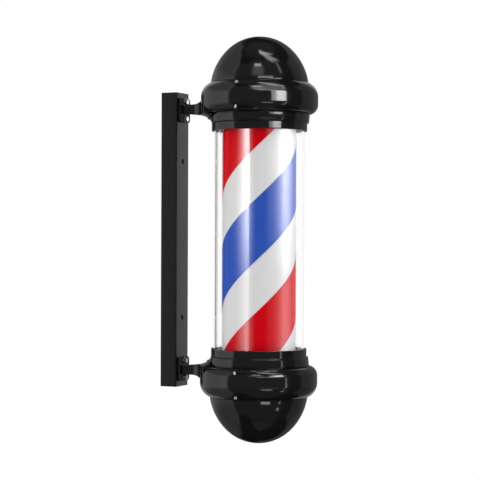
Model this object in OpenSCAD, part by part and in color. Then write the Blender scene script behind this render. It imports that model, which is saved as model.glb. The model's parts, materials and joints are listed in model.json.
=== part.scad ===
// Wall-hung barber pole. A striped drum turns inside a clear tube between two cast
// caps, and two cast arms hold the caps off a folded steel channel on the wall.
// Millimetres, +Z up. The wall is the plane Y = 0 and the pole stands towards -Y.
// The origin is the middle of the channel's wall face, half way up the pole.

/* [Tube and drum] */
// Outside diameter of the clear tube
tube_d = 150; // [142:1:160]
// Wall of the clear tube
tube_wall = 3; // [2:0.5:4]
// Height of tube that shows between the two collars
window_h = 360; // [300:10:480]
// Depth to which each end of the tube goes into its collar
tube_seat = 16; // [12:0.5:18]
// Outside diameter of the drum's shell
drum_d = 122; // [114:1:126]
// Wall of the drum's shell
drum_wall = 1; // [0.8:0.1:2]
// How far the drum runs past each collar's mouth
drum_over = 17; // [13:0.5:18]

/* [Stripes] */
// Height in which the stripes make one turn round the drum
stripe_lead = 371; // [250:1:600]
// Width of the red and of the blue stripe, as a share of a turn, in degrees
stripe_angle = 98; // [60:1:110]
// Turn of the whole pattern about the drum's axis
stripe_phase = 135.7; // [-180:0.1:180]
// Thickness of the coloured film
film_t = 0.4; // [0.2:0.1:0.8]

/* [Caps] */
// Rubber between the tube and the collar
gasket_t = 1.1; // [0.8:0.1:2]
// Wall of the collar's plain ring
collar_wall = 2.9; // [2.7:0.1:5]
// Height of the collar's plain ring
collar_h = 12.5; // [11:0.5:18]
// Height of the flared ring next to the band
ring_h = 14; // [10:0.5:18]
// How far the flared ring stands out from the plain ring
ring_step = 2.8; // [1.5:0.1:4]
// Further flare of that ring towards the band
ring_flare = 1.5; // [0:0.1:2.5]
// How far the band bulges out from the plain ring
bulge = 18.1; // [16:0.1:19]
// Height of the band
band_h = 53.5; // [50:0.5:64]
// Radius of the band's crown next to the dome
crown_r = 26; // [20:0.5:28]
// How far the band's two rims stand out from the plain ring
rim_step = 2.1; // [1.5:0.1:2.6]
// Walls of the cast band and dome
cast_wall = 3.2; // [2.8:0.1:4]
// Height of the dome above the band
dome_h = 77; // [60:1:95]
// Radius of the dome's flank
flank_r = 94.8; // [86:0.1:125]
// How much smaller the radius of the dome's nose is than its rim
nose_drop = 5.2; // [3:0.1:14]

/* [Wall channel] */
// Width of the channel
channel_w = 45; // [38:1:60]
// Depth of the channel, from the wall to its front
channel_d = 29; // [20:0.5:34]
// Steel sheet of the channel
sheet_t = 2; // [1.5:0.1:3]
// Outer radius of the channel's two long bends
bend_r = 3; // [2.2:0.1:5]
// Length of channel past each arm's flange
channel_over = 9.25; // [5:0.25:40]
// Distance between the two wall screw holes
wall_hole_gap = 265; // [180:5:300]
// Diameter of the wall screw holes
wall_hole_d = 9; // [5:0.5:11]

/* [Arms] */
// Distance from the channel's front to the pole's axis
arm_reach = 144; // [140:0.5:190]
// Height of an arm's middle above the band's lower rim
arm_rise = 12.5; // [11:0.5:14]
// Width of the flange on the channel
flange_w = 34; // [28:1:38]
// Height of the flange on the channel
flange_h = 40.5; // [39:0.5:48]
// Thickness of the flange
flange_t = 5; // [4.5:0.5:10]
// Rounding of the flange's corners
flange_corner = 4; // [1:0.5:6]
// Width of the neck, seen from above
neck_w = 15; // [12:0.5:20]
// Height of the neck at the flange
neck_h = 14.9; // [12:0.1:16]
// Half of the angle that the saddle reaches round the cap
saddle_angle = 45; // [30:1:60]
// Thickness of the saddle where it lies in the band
saddle_t = 2.4; // [1.5:0.1:2.8]
// Height of band that the saddle leaves free below the dome
saddle_below = 21; // [19:0.5:25]
// Distance between the two bolts of an arm
bolt_gap = 29; // [28.5:0.5:32]
// Thread diameter of the arm bolts
bolt_d = 5; // [4:0.5:5]

/* [Inside] */
// Diameter of the threads of the cap screws
screw_d = 4; // [3:0.5:4]
// Recess round the head of a cap screw
recess_d = 7.4; // [7:0.1:8.4]
// Sheet of the two plates in the caps
plate_t = 3; // [2:0.5:4]
// Diameter of the fixed bush on which the drum's top turns
bush_d = 48; // [46:0.5:60]
// Diameter of the lamp holder's body
holder_d = 39.6; // [34:0.2:40]
// Length of the tubular lamp with its base
lamp_len = 300; // [140:5:320]
// Diameter of the tubular lamp
lamp_d = 30; // [26:1:32]
// Diameter of the motor's can
motor_d = 50; // [40:1:56]
// Depth of the motor's can
motor_h = 20; // [14:1:28]
// Distance from the motor's middle to its output shaft
motor_offset = 10; // [6:0.5:12]
// Diameter of the motor's output shaft
shaft_d = 7; // [5:0.5:8]
// Diameter of the cable that the grommet takes
cable_d = 7.2; // [5:0.2:8]

/* [Hidden] */
$fn = 96;

// Clearances: slip between pieces that seat in each other, turn in the drum's bush,
// lift under the drum and seam round a saddle; then the overrun of a cut and the length
// of a cutter that is longer than any screw hole
slip = 0.1;
turn = 0.05;
lift = 0.3;
seam = 0.4;
eps = 0.5;
hole_len = 30;

// Heights above the middle of the pole, for the upper cap
z_mouth = window_h / 2;
z_ring = z_mouth + collar_h;
z_band = z_ring + ring_h;
z_dome = z_band + band_h;
z_tube = z_mouth + tube_seat;
z_ledge = z_tube + gasket_t + slip + 0.7;
z_drum = z_mouth + drum_over;
z_saddle = z_dome - saddle_below;
z_arm = z_band + arm_rise;

// Radii of the caps
tube_r = tube_d / 2;
socket_r = tube_r + gasket_t + 2 * slip;
collar_r = socket_r + collar_wall;
ring_r = collar_r + ring_step;
band_r = collar_r + bulge;
rim_r = collar_r + rim_step;
spigot_r = collar_r - 2.2;
dome_spigot_r = spigot_r + 0.8;
spigot_wall = 4;
spigot_h = 12.5;
ledge_r = tube_r - 9;
plate_r = spigot_r - spigot_wall - 0.3;
dome_r = rim_r - 0.2;
shoulder_r = bulge - rim_step;
foot_h = 1.5;
z_shoulder = z_band + foot_h + shoulder_r;
crown_angle = acos(1 - shoulder_r / crown_r);
z_crown = z_dome - crown_r * sin(crown_angle);
pad_t = 3;
pad_r = band_r - saddle_t - pad_t;
seat_r = collar_r - 1.6;

// The dome's outline is two arcs that meet smoothly: the nose's centre is on the axis, and
// the flank's centre is where both its distances, to the rim and to the nose's centre, fit
nose_r = dome_r - nose_drop;
z_nose = z_dome + dome_h - nose_r;
rim_to_nose = norm([dome_r, z_dome - z_nose]);
along = (pow(flank_r, 2) - pow(flank_r - nose_r, 2) + pow(rim_to_nose, 2)) / (2 * rim_to_nose);
across = sqrt(pow(flank_r, 2) - pow(along, 2));
rim_tilt = atan2(z_nose - z_dome, -dome_r);
flank_x = dome_r + along * cos(rim_tilt) - across * sin(rim_tilt);
flank_z = z_dome + along * sin(rim_tilt) + across * cos(rim_tilt);
flank_a0 = atan2(z_dome - flank_z, dome_r - flank_x);
flank_a1 = atan2(z_nose - flank_z, -flank_x);

// Wall bracket
pole_y = channel_d + arm_reach;
channel_len = 2 * (z_arm + flange_h / 2 + channel_over);
y_flange = arm_reach - flange_t;
bolt_head_h = 3.5;
washer_h = 1;
nut_h = 4;
bolt_af = 1.6 * bolt_d;

// Curves of an arm in its side view and in its top view
saddle_lip_h = 11;
lip_curve = 12;
under_curve = 40;
under_slope = 50;
top_curve = 38;
top_start = 21.5;
flare_curve = 30;
root_curve = 6;
neck_rise = 1.9;
z_neck = z_arm + neck_rise - neck_h / 2;

// Cap screws: their heights, and the radii at which their heads sit
z_collar_screw = z_band + 8.5;
z_dome_screw = z_dome - 5.5;
collar_screw_seat = band_r - 7.3;
dome_screw_seat = rim_r + 3.9;
boss_r = 5.2;
head_d = 5.8;
head_h = 2.2;
saddle_screw_x = 9;
saddle_screw_z = z_saddle - 15;
saddle_screw_len = 9;
spot_y = pad_r - 1;
entry_z = z_band + 23.5;
grommet_r = 6;
grommet_lip = 2;

// Plates, drum and drive
plate_screw_r = (ledge_r + spigot_r - spigot_wall) / 2;
z_plate = z_band + plate_t;
shell_r = drum_d / 2;
disc_t = 2.5;
skirt_h = 12;
skirt_wall = 2.5;
hub_wall = 6;
z_disc = z_drum + disc_t;
bush_wall = 3.4;
bush_flange_h = 2.5;
bush_flange_r = bush_d / 2 + 7;
rib_n = 6;
rib_t = 2;
drum_screw_z = z_drum - 5.5;
drum_screw_n = 3;
film_end = z_mouth + 6;
step_angle = 7.5;
boss_d = 16;
washer_t = 1;
z_washer = z_plate - plate_t - 0.5;
hub_r = 12;
hub_top = z_drum - 17;
shaft_flat = 0.5;
ear_gap = 60;
ear_r = 5;
cover_w = 12;
cover_t = 8;
ear_t = 1.2;
holder_flange_h = 3;
holder_below = 38.5;
lamp_base_d = 26.4;
z_holder = z_plate + bush_flange_h;

module at_pole() translate([0, -pole_y, 0]) children();
module below() mirror([0, 0, 1]) children();
module at_both_ends() {
  children();
  below() children();
}
module at_both_sides() {
  children();
  mirror([1, 0, 0]) children();
}
module along_x() rotate([0, 90, 0]) children();
module along_y() rotate([-90, 0, 0]) children();
module ring(r_in, r_out, h) difference() {
  cylinder(r = r_out, h = h);
  translate([0, 0, -eps]) cylinder(r = r_in, h = h + 2 * eps);
}
module sector(half_angle, over = 0)
  rotate_extrude(angle = 2 * (half_angle + over), start = 90 - half_angle - over) children();

// Flat shapes that outlines are built from: a box from the axis outwards, a quarter of a
// disc above or below its centre, and a rectangle with round corners
module box2(r, from, to) translate([0, from]) square([r, to - from]);
module quarter(x, z, r, up) translate([x, z]) intersection() {
  circle(r = r);
  translate([0, up ? 0 : -2 * r]) square(2 * r);
}
module rounded(w, h, r) {
  square([w - 2 * r, h], center = true);
  square([w, h - 2 * r], center = true);
  for (x = [-1, 1], y = [-1, 1]) translate([x * (w / 2 - r), y * (h / 2 - r)]) circle(r = r);
}

// A screw along +Z with its head below Z = 0 and a hexagon socket in the head
module screw(d, length, head_d, head_h, socket = true) {
  difference() {
    union() {
      cylinder(d = d, h = length);
      translate([0, 0, -head_h]) cylinder(d = head_d, h = head_h);
    }
    if (socket) translate([0, 0, -head_h - eps]) cylinder(d = head_d / 2, h = head_h / 2 + eps, $fn = 6);
  }
}

// Wall bracket

module channel_outline(inset) {
  r = bend_r - inset;
  half_w = channel_w / 2 - inset;
  front = channel_d - inset;
  mirror([0, 1]) {
    translate([-half_w, 0]) square([2 * half_w, front - r]);
    translate([-half_w + r, 0]) square([2 * (half_w - r), front]);
    for (side = [-1, 1]) translate([side * (half_w - r), front - r]) circle(r = r);
  }
}

module wall_channel() color("#26282b") difference() {
  linear_extrude(channel_len, center = true) channel_outline(0);
  linear_extrude(channel_len - 2 * sheet_t, center = true) channel_outline(sheet_t);
  linear_extrude(channel_len - 2 * sheet_t, center = true)
    translate([-channel_w / 2 + sheet_t, -eps]) square([channel_w - 2 * sheet_t, 2 * eps]);
  for (side = [-1, 1]) translate([0, -channel_d - eps, side * wall_hole_gap / 2])
    along_y() cylinder(d = wall_hole_d, h = sheet_t + 2 * eps);
  at_both_ends() at_arm_bolts() translate([0, 0, -flange_t - eps])
    cylinder(d = bolt_d + 5 * slip, h = flange_t + sheet_t + 2 * eps);
}

// Places for the two bolts of the upper arm, at the channel's front face, looking at the wall
module at_arm_bolts() for (side = [-1, 1])
  translate([0, -channel_d, z_arm + side * bolt_gap / 2]) along_y() children();

module arm_bolts() color("silver") at_both_ends() at_arm_bolts()
  translate([0, 0, -flange_t - washer_h]) difference() {
    union() {
      translate([0, 0, -1]) cylinder(d = bolt_d, h = flange_t + washer_h + sheet_t + nut_h + 3);
      translate([0, 0, -bolt_head_h]) rotate(30) cylinder(r = bolt_af / sqrt(3), h = bolt_head_h, $fn = 6);
    }
    translate([0, 0, -bolt_head_h - eps]) cylinder(d = bolt_af * 0.7, h = eps + 0.3);
  }

module arm_washers() color("silver") at_both_ends() at_arm_bolts()
  translate([0, 0, -flange_t - washer_h]) ring(bolt_d / 2 + slip, bolt_d, washer_h);

module arm_nuts() color("silver") at_both_ends() at_arm_bolts() translate([0, 0, sheet_t]) difference() {
  rotate(30) cylinder(r = bolt_af / sqrt(3), h = nut_h, $fn = 6);
  translate([0, 0, -eps]) cylinder(d = bolt_d + slip, h = nut_h + 2 * eps);
}

// The space that the cap takes inside an arm's saddle: the cut-back collar, the band's lower
// shoulder and the recess in the band, all grown by the slip
module saddle_space() {
  edge = band_r - saddle_t + slip;
  box2(seat_r + slip, z_mouth - 2 * eps, z_band + eps);
  box2(rim_r, z_band, z_saddle + 9);
  box2(edge, z_shoulder, z_saddle + 9);
  intersection() {
    quarter(rim_r, z_shoulder, shoulder_r + slip, up = false);
    box2(edge, z_band, z_shoulder + eps);
  }
}

// The saddle's outer edge: flush with the collar, then a hollow flare out to the band. The
// flare's small curve and its large one meet where both slope by the same angle.
module saddle_edge() {
  z_lip = z_mouth + saddle_lip_h;
  meet = [collar_r + lip_curve * (1 - cos(under_slope)), z_lip + lip_curve * sin(under_slope)];
  difference() {
    box2(band_r, z_mouth, z_saddle);
    translate([collar_r, z_mouth - eps]) square([bulge + eps, saddle_lip_h + eps]);
    translate([meet.x, z_lip - eps]) square([bulge, meet.y - z_lip + eps]);
    intersection() {
      translate([collar_r + lip_curve, z_lip]) circle(r = lip_curve);
      translate([0, z_lip]) square([meet.x + eps, meet.y - z_lip]);
    }
    intersection() {
      translate(meet + under_curve * [cos(under_slope), -sin(under_slope)]) circle(r = under_curve);
      translate([0, meet.y]) square([band_r + eps, under_curve]);
    }
  }
}

// Side view of the neck, Y outwards from the pole's axis and Z up: straight at the flange,
// hollow above and below towards the saddle
module neck_side() {
  top = z_neck + neck_h;
  top_y = arm_reach - top_start;
  under = [band_r + 12, z_neck - 3.4];
  difference() {
    polygon([[pad_r, z_neck - 9], [under.x - 18, z_neck - 9], under, [arm_reach - flange_t / 2, z_neck],
      [arm_reach - flange_t / 2, top], [top_y, top], [top_y, z_saddle], [pad_r, z_saddle]]);
    translate([top_y, top + top_curve]) circle(r = top_curve);
    translate(under - [0, under_curve]) circle(r = under_curve);
  }
}

// Top view of the neck, hollow-sided towards the saddle and rounded into the flange
module neck_top() {
  x = neck_w / 2 + flare_curve;
  y = sqrt(pow(band_r - 1.5 + flare_curve, 2) - pow(x, 2));
  toe = [x, y] * (band_r - 2) / (band_r + flare_curve);
  root_x = neck_w / 2 + root_curve;
  translate([-neck_w / 2, pad_r]) square([neck_w, arm_reach - pad_r - flange_t / 2]);
  difference() {
    polygon([toe, [x, y], [-x, y], [-toe.x, toe.y]]);
    for (side = [-1, 1]) translate([side * x, y]) circle(r = flare_curve);
  }
  difference() {
    translate([-root_x, y_flange - root_curve]) square([2 * root_x, root_curve + flange_t / 2]);
    for (side = [-1, 1]) translate([side * root_x, y_flange - root_curve]) circle(r = root_curve);
  }
}

module flange() translate([0, y_flange, z_arm]) along_y()
  linear_extrude(flange_t) rounded(flange_w, flange_h, flange_corner);

module arm() color("#17181a") at_pole() difference() {
  union() {
    flange();
    intersection() {
      rotate([90, 0, 90]) linear_extrude(2 * band_r, center = true) neck_side();
      translate([0, 0, z_mouth]) linear_extrude(z_dome - z_mouth) neck_top();
    }
    sector(saddle_angle) saddle_edge();
  }
  rotate_extrude() saddle_space();
  translate([0, arm_reach, z_arm]) for (side = [-1, 1])
    translate([0, eps, side * bolt_gap / 2]) rotate([90, 0, 0]) cylinder(d = bolt_d + 5 * slip, h = flange_t + 2 * eps);
  at_both_sides() translate([saddle_screw_x, pad_r - eps, saddle_screw_z])
    along_y() cylinder(d = screw_d + 2 * slip, h = saddle_screw_len + pad_t + 1);
}
module upper_arm() arm();
module lower_arm() below() arm();

// Caps

module collar() color("#101113") at_pole() difference() {
  rotate_extrude() polygon([
    [socket_r, z_mouth], [collar_r, z_mouth], [collar_r, z_ring], [ring_r, z_ring + 1],
    [ring_r + ring_flare, z_band], [spigot_r, z_band], [spigot_r, z_band + spigot_h],
    [spigot_r - spigot_wall, z_band + spigot_h], [spigot_r - spigot_wall, z_band],
    [ledge_r, z_band], [ledge_r, z_ledge], [socket_r, z_ledge]
  ]);
  sector(saddle_angle, seam) translate([seat_r, z_mouth - eps]) square([20, z_band - z_mouth + 2 * eps]);
  at_plate_screws() translate([0, 0, -6]) cylinder(d = 3 + 2 * slip, h = 7);
}
module upper_collar() collar();
module lower_collar() below() collar();

// The band's outline, or its hollow when drawn in by the wall
module band_outline(inset = 0) {
  low = z_shoulder - shoulder_r + inset;
  high = z_dome - inset;
  box2(rim_r, low, high);
  box2(band_r - inset, z_shoulder, z_crown);
  quarter(rim_r, z_shoulder, shoulder_r - inset, up = false);
  intersection() {
    quarter(band_r - crown_r, z_crown, crown_r - inset, up = true);
    box2(band_r, z_crown - eps, high);
  }
}
module band_section() difference() {
  union() {
    band_outline();
    box2(rim_r, z_band, z_shoulder);
  }
  band_outline(cast_wall);
  box2(spigot_r + 2 * slip, z_band - eps, z_shoulder);
  box2(dome_spigot_r + 2 * slip, z_crown, z_dome + eps);
}

module band(entry = false) color("#101113") at_pole() difference() {
  union() {
    rotate_extrude() band_section();
    intersection() {
      rotate_extrude() band_outline(cast_wall / 2);
      at_both_sides() {
        translate([spigot_r + 2 * slip, 0, z_collar_screw]) along_x() cylinder(r = boss_r, h = hole_len);
        translate([dome_spigot_r + 2 * slip, 0, z_dome_screw]) along_x() cylinder(r = boss_r, h = hole_len);
      }
    }
    sector(saddle_angle + 6) translate([pad_r, z_shoulder - shoulder_r / 2])
      square([pad_t + cast_wall / 8, z_saddle + 3 - z_shoulder + shoulder_r / 2]);
  }
  sector(saddle_angle, seam) translate([band_r - saddle_t, z_band - eps]) square([20, z_saddle + seam - z_band + eps]);
  at_both_sides() {
    cap_screw_hole(z_collar_screw, collar_screw_seat);
    cap_screw_hole(z_dome_screw, dome_screw_seat);
    translate([saddle_screw_x, 0, saddle_screw_z]) along_y() {
      translate([0, 0, pad_r - 12]) cylinder(d = 2 * screw_d + 1, h = 12 - pad_r + spot_y);
      cylinder(d = screw_d + 4 * slip, h = band_r);
    }
  }
  if (entry) translate([band_r - 2 * cast_wall, 0, entry_z])
    along_x() cylinder(r = grommet_r + slip, h = 4 * cast_wall);
}
module cap_screw_hole(z, seat) {
  translate([rim_r - 8, 0, z]) along_x() cylinder(d = screw_d + 2 * slip, h = hole_len);
  translate([seat, 0, z]) along_x() cylinder(d = recess_d, h = hole_len);
}
module upper_band() band();
module lower_band() below() band(entry = true);

// The dome's outline between two heights, or its hollow when drawn in by the wall
module dome_outline(inset, from) {
  split = flank_z + (flank_r - inset) * sin(flank_a1);
  intersection() {
    translate([flank_x, flank_z]) circle(r = flank_r - inset, $fn = 3 * $fn);
    translate([0, split]) mirror([0, 1]) square([2 * dome_r, split - from]);
  }
  intersection() {
    translate([0, z_nose]) circle(r = nose_r - inset, $fn = 2 * $fn);
    box2(2 * dome_r, split, z_dome + 2 * dome_r);
  }
}
module dome() color("#101113") at_pole() rotate_extrude() difference() {
  union() {
    dome_outline(0, z_dome);
    box2(dome_spigot_r, z_dome - 14, z_dome + eps);
  }
  dome_outline(cast_wall, z_dome + 5);
  box2(dome_spigot_r - 2.5, z_dome - 15, z_dome + 6);
}
module upper_dome() dome();
module lower_dome() below() dome();

module cap_screws(z, seat, tip) color("silver") at_pole() at_both_ends() at_both_sides()
  translate([seat, 0, z]) rotate([0, -90, 0]) screw(screw_d, seat - tip, head_d, head_h);
module collar_screws() cap_screws(z_collar_screw, collar_screw_seat, spigot_r + slip);
module dome_screws() cap_screws(z_dome_screw, dome_screw_seat, dome_spigot_r + slip);

module saddle_screws() color("silver") at_pole() at_both_ends() at_both_sides()
  translate([saddle_screw_x, spot_y, saddle_screw_z]) along_y()
    screw(screw_d, saddle_screw_len + pad_r - spot_y, 2 * screw_d, 2.6);

module cable_grommet() color("#1b1b1b") at_pole() below()
  translate([band_r - cast_wall, 0, entry_z]) along_x() difference() {
    union() {
      translate([0, 0, -grommet_lip - 0.5]) cylinder(r = grommet_r + 2.5, h = grommet_lip);
      translate([0, 0, -1]) cylinder(r = grommet_r, h = cast_wall + 2);
      translate([0, 0, cast_wall + slip / 2]) cylinder(r = grommet_r + 2.5, h = grommet_lip);
    }
    translate([0, 0, -2 * grommet_lip]) cylinder(d = cable_d, h = cast_wall + 5 * grommet_lip);
  }

// Tube and its rubber ends

module glass_tube() color("#dfe9ee", 0.3) at_pole()
  translate([0, 0, -z_tube]) ring(tube_r - tube_wall, tube_r, 2 * z_tube);

module gasket() color("#2a2a2a") at_pole() rotate_extrude() polygon([
  [tube_r + slip, z_mouth + 1], [tube_r + slip + gasket_t, z_mouth + 1],
  [tube_r + slip + gasket_t, z_ledge], [tube_r - tube_wall - 0.5, z_ledge],
  [tube_r - tube_wall - 0.5, z_tube], [tube_r + slip, z_tube]
]);
module upper_gasket() gasket();
module lower_gasket() below() gasket();

// Drum

module drum_shell() color("#f4f2ef") at_pole() difference() {
  translate([0, 0, -z_drum]) ring(shell_r - drum_wall, shell_r, 2 * z_drum);
  at_drum_screws() cylinder(d = 3 + 2 * slip, h = 3 * drum_wall);
}
module at_drum_screws() at_both_ends() for (i = [0:drum_screw_n - 1]) rotate(i * 360 / drum_screw_n)
  translate([shell_r, 0, drum_screw_z]) rotate([0, -90, 0]) translate([0, 0, -drum_wall]) children();

module drum_screws() color("silver") at_pole() at_drum_screws() translate([0, 0, drum_wall])
  screw(3, drum_wall + skirt_wall, 5, 1, socket = false);

// A stripe is one helical film. Its corners lie on a fixed grid of angles, so that each
// facet is a flat slice of the drum's wall, and its ends are cut level.
module stripe(phase) {
  r_in = (shell_r + slip / 2) / cos(step_angle / 2);
  n_arc = ceil(stripe_angle / step_angle);
  turn_per_mm = 360 / stripe_lead;
  n_up = ceil(2 * film_end * turn_per_mm / step_angle);
  wide = [for (j = [0:n_arc]) min(j * step_angle, stripe_angle)];
  corners = [for (i = [0:n_up], side = [0, 1], j = [0:n_arc])
    let (z = min(-film_end + i * step_angle / turn_per_mm, film_end))
    let (a = phase + z * turn_per_mm + (side == 0 ? wide[j] : wide[n_arc - j]))
    [(r_in + (1 - side) * film_t) * cos(a), (r_in + (1 - side) * film_t) * sin(a), z]];
  n = 2 * (n_arc + 1);
  walls = [for (i = [0:n_up - 1], k = [0:n - 1])
    let (p = i * n + k, q = i * n + (k + 1) % n)
    each k <= n_arc ? [[p, p + n, q], [q, p + n, q + n]] : [[p, p + n, q + n], [p, q + n, q]]];
  bottom = [for (j = [0:n_arc - 1]) each [[j, j + 1, n - 1 - j], [j + 1, n - 2 - j, n - 1 - j]]];
  top = [for (f = bottom) [f[2] + n_up * n, f[1] + n_up * n, f[0] + n_up * n]];
  polyhedron(points = corners, faces = concat(walls, bottom, top));
}
module red_stripe() color("#c8102e") at_pole() stripe(stripe_phase + 180);
module blue_stripe() color("#2f55b5") at_pole() stripe(stripe_phase);

// An end disc lies on the shell's end, with a skirt inside it, ribs and a hub
module drum_disc(hub_r, hub_bottom, hub_top, ribs_from) {
  difference() {
    union() {
      translate([0, 0, z_drum]) cylinder(r = shell_r, h = disc_t);
      translate([0, 0, z_drum - skirt_h]) ring(shell_r - drum_wall - slip - skirt_wall,
        shell_r - drum_wall - slip, skirt_h);
      translate([0, 0, hub_bottom]) cylinder(r = hub_r, h = hub_top - hub_bottom);
      for (i = [0:rib_n - 1]) rotate(i * 360 / rib_n + 15)
        translate([ribs_from, -rib_t / 2, z_drum - skirt_h / 2])
          cube([shell_r - drum_wall - skirt_wall - ribs_from, rib_t, skirt_h / 2 + eps]);
    }
    at_drum_screws() cylinder(d = 3 + slip, h = 3 * skirt_wall);
    children();
  }
}

module drum_top_disc() color("#ece8e0") at_pole()
  drum_disc(bush_d / 2 + hub_wall, z_drum - skirt_h, z_disc, bush_d / 2 + hub_wall - 1)
    translate([0, 0, z_drum - 2 * skirt_h]) cylinder(r = bush_d / 2 + turn, h = 4 * skirt_h);

module shaft_section(gap) difference() {
  circle(d = shaft_d + 2 * gap);
  translate([shaft_d / 2 - shaft_flat + gap, -shaft_d]) square(2 * shaft_d);
}

module drum_bottom_disc() color("#ece8e0") at_pole() below()
  drum_disc(hub_r, hub_top, z_washer - washer_t - lift, hub_r - 1) {
    translate([0, 0, hub_top - eps]) linear_extrude(3 * skirt_h) shaft_section(slip);
    translate([0, 0, hub_top + 6]) along_x() cylinder(d = 4 + slip, h = 2 * hub_r);
  }

module motor_shaft() color("silver") at_pole() below() {
  translate([0, 0, hub_top + 1]) linear_extrude(z_washer - washer_t - hub_top - 1) shaft_section(0);
  translate([0, 0, z_washer - washer_t - slip]) cylinder(d = shaft_d, h = plate_t + 12);
}

module hub_screw() color("silver") at_pole() below()
  translate([hub_r - 0.5, 0, hub_top + 6]) rotate([0, -90, 0]) difference() {
    cylinder(d = 4, h = hub_r - 0.5 - shaft_d / 2 + shaft_flat - slip / 2);
    translate([0, 0, -eps]) cylinder(d = 2, h = 2, $fn = 6);
  }

// Plates, bush and lamp

module at_plate_screws() for (i = [0:3]) rotate(45 + 90 * i) translate([plate_screw_r, 0, z_band]) children();

module cap_plate() {
  difference() {
    translate([0, 0, z_band]) cylinder(r = plate_r, h = plate_t);
    at_plate_screws() translate([0, 0, -eps]) cylinder(d = 3 + 2 * slip, h = plate_t + 2 * eps);
    children();
  }
}
module upper_plate() color("#b9bcc0") at_pole() cap_plate() {
  translate([0, 0, z_band - eps]) cylinder(d = bush_d + 2 * slip, h = plate_t + 2 * eps);
  at_lamp_screws() cylinder(d = 3 + 2 * slip, h = hole_len);
}
module lower_plate() color("#b9bcc0") at_pole() below() cap_plate() {
  translate([0, 0, z_band - eps]) cylinder(d = boss_d + 2 * slip, h = plate_t + 2 * eps);
  at_motor_screws() cylinder(d = 4 + 2 * slip, h = hole_len, center = true);
  at_terminal_screws() cylinder(d = 3 + 2 * slip, h = hole_len, center = true);
}
module plate_screws() color("silver") at_pole() at_both_ends() at_plate_screws()
  translate([0, 0, plate_t]) mirror([0, 0, 1]) screw(3, plate_t + 5, 5.6, 2);

module top_bush() color("#d9d4c7") at_pole() difference() {
  union() {
    translate([0, 0, z_drum - skirt_h]) cylinder(d = bush_d, h = z_plate - z_drum + skirt_h);
    translate([0, 0, z_plate]) cylinder(r = bush_flange_r, h = bush_flange_h);
  }
  translate([0, 0, z_drum - skirt_h - eps]) cylinder(r = bush_d / 2 - bush_wall, h = z_holder);
  at_lamp_screws() cylinder(d = 3 + 2 * slip, h = hole_len);
}

module at_lamp_screws() at_both_sides() translate([bush_d / 2 + 3.5, 0, z_band - 1]) children();

module lamp_holder() color("#e6e2da") at_pole() difference() {
  union() {
    translate([0, 0, z_holder]) cylinder(r = bush_flange_r, h = holder_flange_h);
    translate([0, 0, z_plate - holder_below - 3]) cylinder(d = holder_d, h = z_holder - z_plate + holder_below + 4);
    translate([0, 0, z_holder]) cylinder(d1 = holder_d, d2 = holder_d - 8, h = 16);
  }
  translate([0, 0, z_plate - holder_below - 4]) cylinder(d = lamp_base_d + 4 * slip, h = holder_below);
  at_lamp_screws() cylinder(d = 3 + 2 * slip, h = hole_len);
}
module lamp_screws() color("silver") at_pole() at_both_sides()
  translate([bush_d / 2 + 3.5, 0, z_holder + holder_flange_h]) mirror([0, 0, 1])
    screw(3, holder_flange_h + bush_flange_h + plate_t - slip, 5.6, 2);

module led_lamp() color("#f7f7f2") at_pole() {
  z_top = z_plate - 4 - slip;
  z_neck = z_plate - holder_below - 3 - lift;
  translate([0, 0, z_neck - 2]) cylinder(d = lamp_base_d, h = z_top - z_neck + 2);
  translate([0, 0, z_top - lamp_len + lamp_d / 2]) {
    cylinder(d = lamp_d, h = z_neck - z_top + lamp_len - lamp_d / 2);
    difference() {
      sphere(d = lamp_d);
      cylinder(d = 2 * lamp_d, h = lamp_d);
    }
  }
}

// Motor and wiring block

module at_motor_screws() at_both_sides() translate([ear_gap / 2, -motor_offset, z_band]) children();

module motor() color("#a9adb2") at_pole() below() difference() {
  union() {
    translate([0, -motor_offset, z_plate]) cylinder(d = motor_d, h = motor_h);
    translate([0, -motor_offset, z_plate]) {
      translate([-ear_gap / 2, -ear_r, 0]) cube([ear_gap, 2 * ear_r, ear_t]);
      for (side = [-1, 1]) translate([side * ear_gap / 2, 0, 0]) cylinder(r = ear_r, h = ear_t);
    }
    translate([0, 0, z_washer]) cylinder(d = boss_d, h = z_plate - z_washer + eps);
    translate([-cover_w / 2, -motor_offset - motor_d / 2 - cover_t / 2, z_plate + cover_t / 2])
      cube([cover_w, cover_t, motor_h - cover_t]);
  }
  translate([0, 0, z_washer - eps]) cylinder(r = shaft_d / 2 + turn, h = plate_t + 12);
  at_motor_screws() cylinder(d = 4 + 2 * slip, h = hole_len, center = true);
}
module motor_screws() color("silver") at_pole() below() at_motor_screws()
  screw(4, plate_t + ear_t + 5, 7, 2.6);
module motor_nuts() color("silver") at_pole() below() at_motor_screws()
  translate([0, 0, plate_t + ear_t]) difference() {
    cylinder(r = 3.5 / cos(30), h = 3, $fn = 6);
    translate([0, 0, -eps]) cylinder(d = 4 + slip, h = 3 + 2 * eps);
  }
module thrust_washer() color("#d9d4c7") at_pole() below()
  translate([0, 0, z_washer - washer_t]) ring(shaft_d / 2 + turn, boss_d / 2 - 0.5, washer_t);

module at_terminal_screws() at_both_sides() translate([5.3, motor_d / 2 - motor_offset + 16, z_band]) children();

module terminal_block() color("#efe9dc") at_pole() below() difference() {
  translate([0, motor_d / 2 - motor_offset + 16, z_plate]) {
    translate([-16, -8, 0]) cube([32, 16, 6]);
    for (i = [-1:1]) translate([10.6 * i, -8, 7]) along_y() cylinder(r = 4.2, h = 16);
  }
  at_terminal_screws() cylinder(d = 3 + 2 * slip, h = hole_len);
  translate([0, motor_d / 2 - motor_offset + 16, z_plate + 8])
    for (i = [-1:1]) translate([10.6 * i, -8 - eps, 0]) along_y() cylinder(r = 1.6, h = 16 + 2 * eps);
}
module terminal_screws() color("silver") at_pole() below()
  at_terminal_screws() screw(3, plate_t + 5.5, 5.6, 2);

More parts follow.
